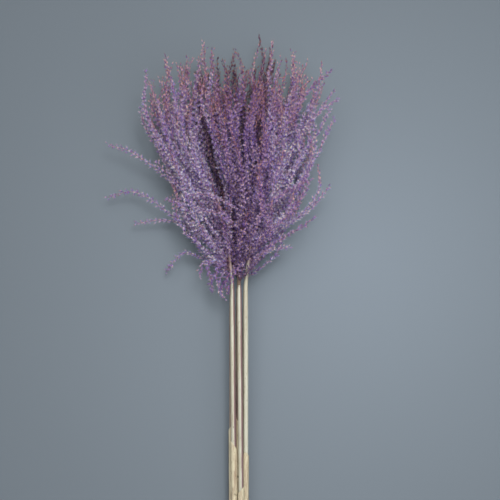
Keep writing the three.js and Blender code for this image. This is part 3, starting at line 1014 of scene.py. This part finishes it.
def leaf_sheath(n):
    """A thin rolled leaf base: it wraps the culm a little more than once and ends in a slant."""
    inner = CULM_RADIUS + SHEATH_FIT
    points = np.array(sheath_layer(n, inner) + sheath_layer(n, inner + LEAF_THICKNESS))
    width = SHEATH_COLUMNS + 1
    size = (SHEATH_ROWS + 1) * width
    i, j = np.meshgrid(np.arange(SHEATH_ROWS), np.arange(SHEATH_COLUMNS), indexing="ij")
    a = i * width + j
    inside = np.stack([a, a + 1, a + width + 1, a + width], -1).reshape(-1, 4)
    outside = np.stack([a, a + width, a + width + 1, a + 1], -1).reshape(-1, 4) + size
    border = [row * width for row in range(SHEATH_ROWS + 1)]
    border += [SHEATH_ROWS * width + column for column in range(1, width)]
    border += [row * width + SHEATH_COLUMNS for row in range(SHEATH_ROWS - 1, -1, -1)]
    border += list(range(SHEATH_COLUMNS - 1, 0, -1))
    edges = []
    for first, second in zip(border, border[1:] + border[:1]):
        edges.append((first, second, second + size, first + size))
    inside_uvs = np.array(
        [
            (FACE_U * column / SHEATH_COLUMNS, row / SHEATH_ROWS)
            for row in range(SHEATH_ROWS + 1)
            for column in range(width)
        ]
    )
    soup = Soup()
    uvs = np.vstack([inside_uvs, inside_uvs + [0.5, 0]])
    soup.add(points, [inside, outside, np.array(edges)], uvs)
    return soup.build(f"leaf_sheath_{n + 1}_leaf", sheath_look, "leaf_sheath", f"leaf_sheath_{n + 1}")


for stem in range(STEM_COUNT):
    culm(stem)
    leaf_sheath(stem)
    plume(stem)

# ---------------------------------------------------------------- elastic band


def band_material():
    material, tree, shader = new_material("elastic_band")
    coordinates = add_node(tree, "ShaderNodeTexCoord").outputs["Object"]
    noise = add_node(tree, "ShaderNodeTexNoise", {"Vector": coordinates, "Scale": 420, "Detail": 4.0})
    color = add_ramp(tree, noise.outputs[0], [(0.3, (0.36, 0.20, 0.075)), (0.7, (0.52, 0.33, 0.15))])
    tree.links.new(color, shader.inputs["Base Color"])
    bump = add_node(
        tree, "ShaderNodeBump", {"Strength": 0.3, "Distance": 0.0001, "Height": noise.outputs[0]}
    )
    tree.links.new(bump.outputs[0], shader.inputs["Normal"])
    shader.inputs["Roughness"].default_value = 0.55
    return material


BAND_TURNS = 4
BAND_SAMPLES = 48  # round one turn
# The band's cross-section, along the stems and out from them
BAND_SECTION = [(-0.95, 0.0), (-0.8, 0.42), (0.8, 0.42), (0.95, 0.0), (0.8, -0.42), (-0.8, -0.42)]
BAND_STANDOFF = 0.45  # of the section's middle from the stems
BAND_EDGE = 1.1  # of the first and last turns' middles from the band's sides
BAND_SWAY = 0.3
BAND_SWAYS = 2.3  # in radians for each turn


def outside_radius(n, y):
    """Of a stem at y: its leaf sheath's if there is one near, and else its culm's."""
    in_sheath = SHEATH_TOPS[n] - SHEATH_LENGTHS[n] - BAND_WIDTH / 2 < y < SHEATH_TOPS[n]
    return CULM_RADIUS + (SHEATH_OUTSIDE if in_sheath else CULM_OUTSIDE)


def elastic_band():
    """A flat rubber band, wound a few times round the stems in one running spiral."""
    middle_y = -STEM_LENGTH + BAND_FROM_CUT
    outer_stems = range(1, STEM_COUNT)
    radii = [BAND_STANDOFF + outside_radius(n, middle_y) for n in outer_stems]
    count = BAND_TURNS * BAND_SAMPLES
    rows = []
    for step in range(count):
        turns = step / BAND_SAMPLES
        angle = turns * 2 * math.pi
        direction = np.array([math.cos(angle), math.sin(angle)])
        y = middle_y + (BAND_WIDTH - 2 * BAND_EDGE) * (step / (count - 1) - 0.5)
        seats = [np.array(seat(n, y)) * spacing_at(y) for n in outer_stems]
        contacts = [seated + direction * radius for seated, radius in zip(seats, radii)]
        centre = max(contacts, key=lambda contact: contact @ direction)
        sway = BAND_SWAY * math.sin(turns * BAND_SWAYS)
        for along, out in BAND_SECTION:
            x, z = centre + direction * out
            rows.append((x, y + along + sway, z + middle_height(y)))
    sides = len(BAND_SECTION)
    start_cap = np.arange(sides)[None, ::-1]
    end_cap = (count - 1) * sides + np.arange(sides)[None]
    uvs = np.array([(step / count, side / sides) for step in range(count) for side in range(sides)])
    soup = Soup()
    soup.add(np.array(rows), [ring_quads(count, sides), start_cap, end_cap], uvs)
    return soup.build("elastic_band_wraps", band_material(), "elastic_band", "elastic_band")


elastic_band()

# ---------------------------------------------------------------- floor, light and camera

FLOOR_SIZE = 60
# painted light: the floor is painted lightest round this spot, as a pool of light under the spot lamp
PAINTED_LIGHT_POOL = (0.15, 0.04)  # where the floor's tone is lightest, from the stems' axis and the neck
VIEW_SIZE = 0.6  # the height that the camera sees, at the height of the stems
VIEW_CENTRE = (0.0135, 0.048)  # from the stems' axis and the neck
CAMERA_DISTANCE = 2.3
# The floor's painted light: its tone, by the distance from the middle of a painted pool of light
FLOOR_PAINTED_LIGHT_TONES = [(0, (0.182, 0.216, 0.253)), (0.2, (0.152, 0.180, 0.208)), (0.45, (0.132, 0.156, 0.180))]
LAMPS_AIM = (0, 0.1, 0.03)
SPOT_AIM = (0.12, 0.04, 0)


def stage_floor():
    mesh = bpy.data.meshes.new("floor")
    half = FLOOR_SIZE / 2
    corners = [(-half, -half, 0), (half, -half, 0), (half, half, 0), (-half, half, 0)]
    mesh.from_pydata(corners, [], [(0, 1, 2, 3)])
    floor = bpy.data.objects.new("floor", mesh)
    bpy.context.scene.collection.objects.link(floor)
    material, tree, shader = new_material("floor")
    coordinates = add_node(tree, "ShaderNodeTexCoord").outputs["Object"]
    # a painted pool of light on the floor, lighter near its centre
    centre = (AXIS_X + PAINTED_LIGHT_POOL[0], NECK_Y + PAINTED_LIGHT_POOL[1], 0)
    away = add_node(tree, "ShaderNodeVectorMath", {0: coordinates, 1: centre}, operation="DISTANCE")
    color = add_ramp(tree, away.outputs["Value"], FLOOR_PAINTED_LIGHT_TONES, "B_SPLINE")
    tree.links.new(color, shader.inputs["Base Color"])
    shader.inputs["Roughness"].default_value = 0.9
    mesh.materials.append(material)


def add_lamp(light, location, aim):
    lamp = bpy.data.objects.new(light.name, light)
    lamp.location = location
    x, y, z = np.array(aim) - np.array(location)
    lamp.rotation_euler = (math.atan2(math.hypot(x, y), -z), 0, math.atan2(x, -y) + math.pi)
    bpy.context.scene.collection.objects.link(lamp)


def area_light(name, location, size, power, color):
    light = bpy.data.lights.new(name, "AREA")
    light.shape = "DISK"
    light.size = size
    light.energy = power
    light.color = color
    add_lamp(light, location, LAMPS_AIM)


def spot_light(name, location, size, power, angle):
    light = bpy.data.lights.new(name, "SPOT")
    light.spot_size = angle
    light.spot_blend = 1.0
    light.shadow_soft_size = size
    light.energy = power
    add_lamp(light, location, SPOT_AIM)


def studio():
    area_light("key", (-0.3, 1.0, 2.6), size=2.2, power=42, color=(1.0, 0.98, 0.95))
    area_light("fill", (1.3, -0.8, 2.2), size=2.6, power=21, color=(0.95, 0.97, 1.0))
    spot_light("spot", (0.5, 0.9, 2.6), size=0.6, power=325, angle=0.46)
    world = bpy.data.worlds.new("studio")
    world.use_nodes = True
    background = world.node_tree.nodes["Background"]
    background.inputs["Color"].default_value = (0.80, 0.86, 0.90, 1)
    background.inputs["Strength"].default_value = 0.32
    bpy.context.scene.world = world


def photo_camera():
    camera = bpy.data.cameras.new("camera")
    camera.lens = camera.sensor_width * CAMERA_DISTANCE / VIEW_SIZE
    viewer = bpy.data.objects.new("camera", camera)
    height = NECK_HEIGHT / 1000 + CAMERA_DISTANCE
    viewer.location = (AXIS_X + VIEW_CENTRE[0], NECK_Y + VIEW_CENTRE[1], height)
    bpy.context.scene.collection.objects.link(viewer)
    bpy.context.scene.camera = viewer


stage_floor()
studio()
photo_camera()
bpy.context.scene.view_settings.view_transform = "Standard"
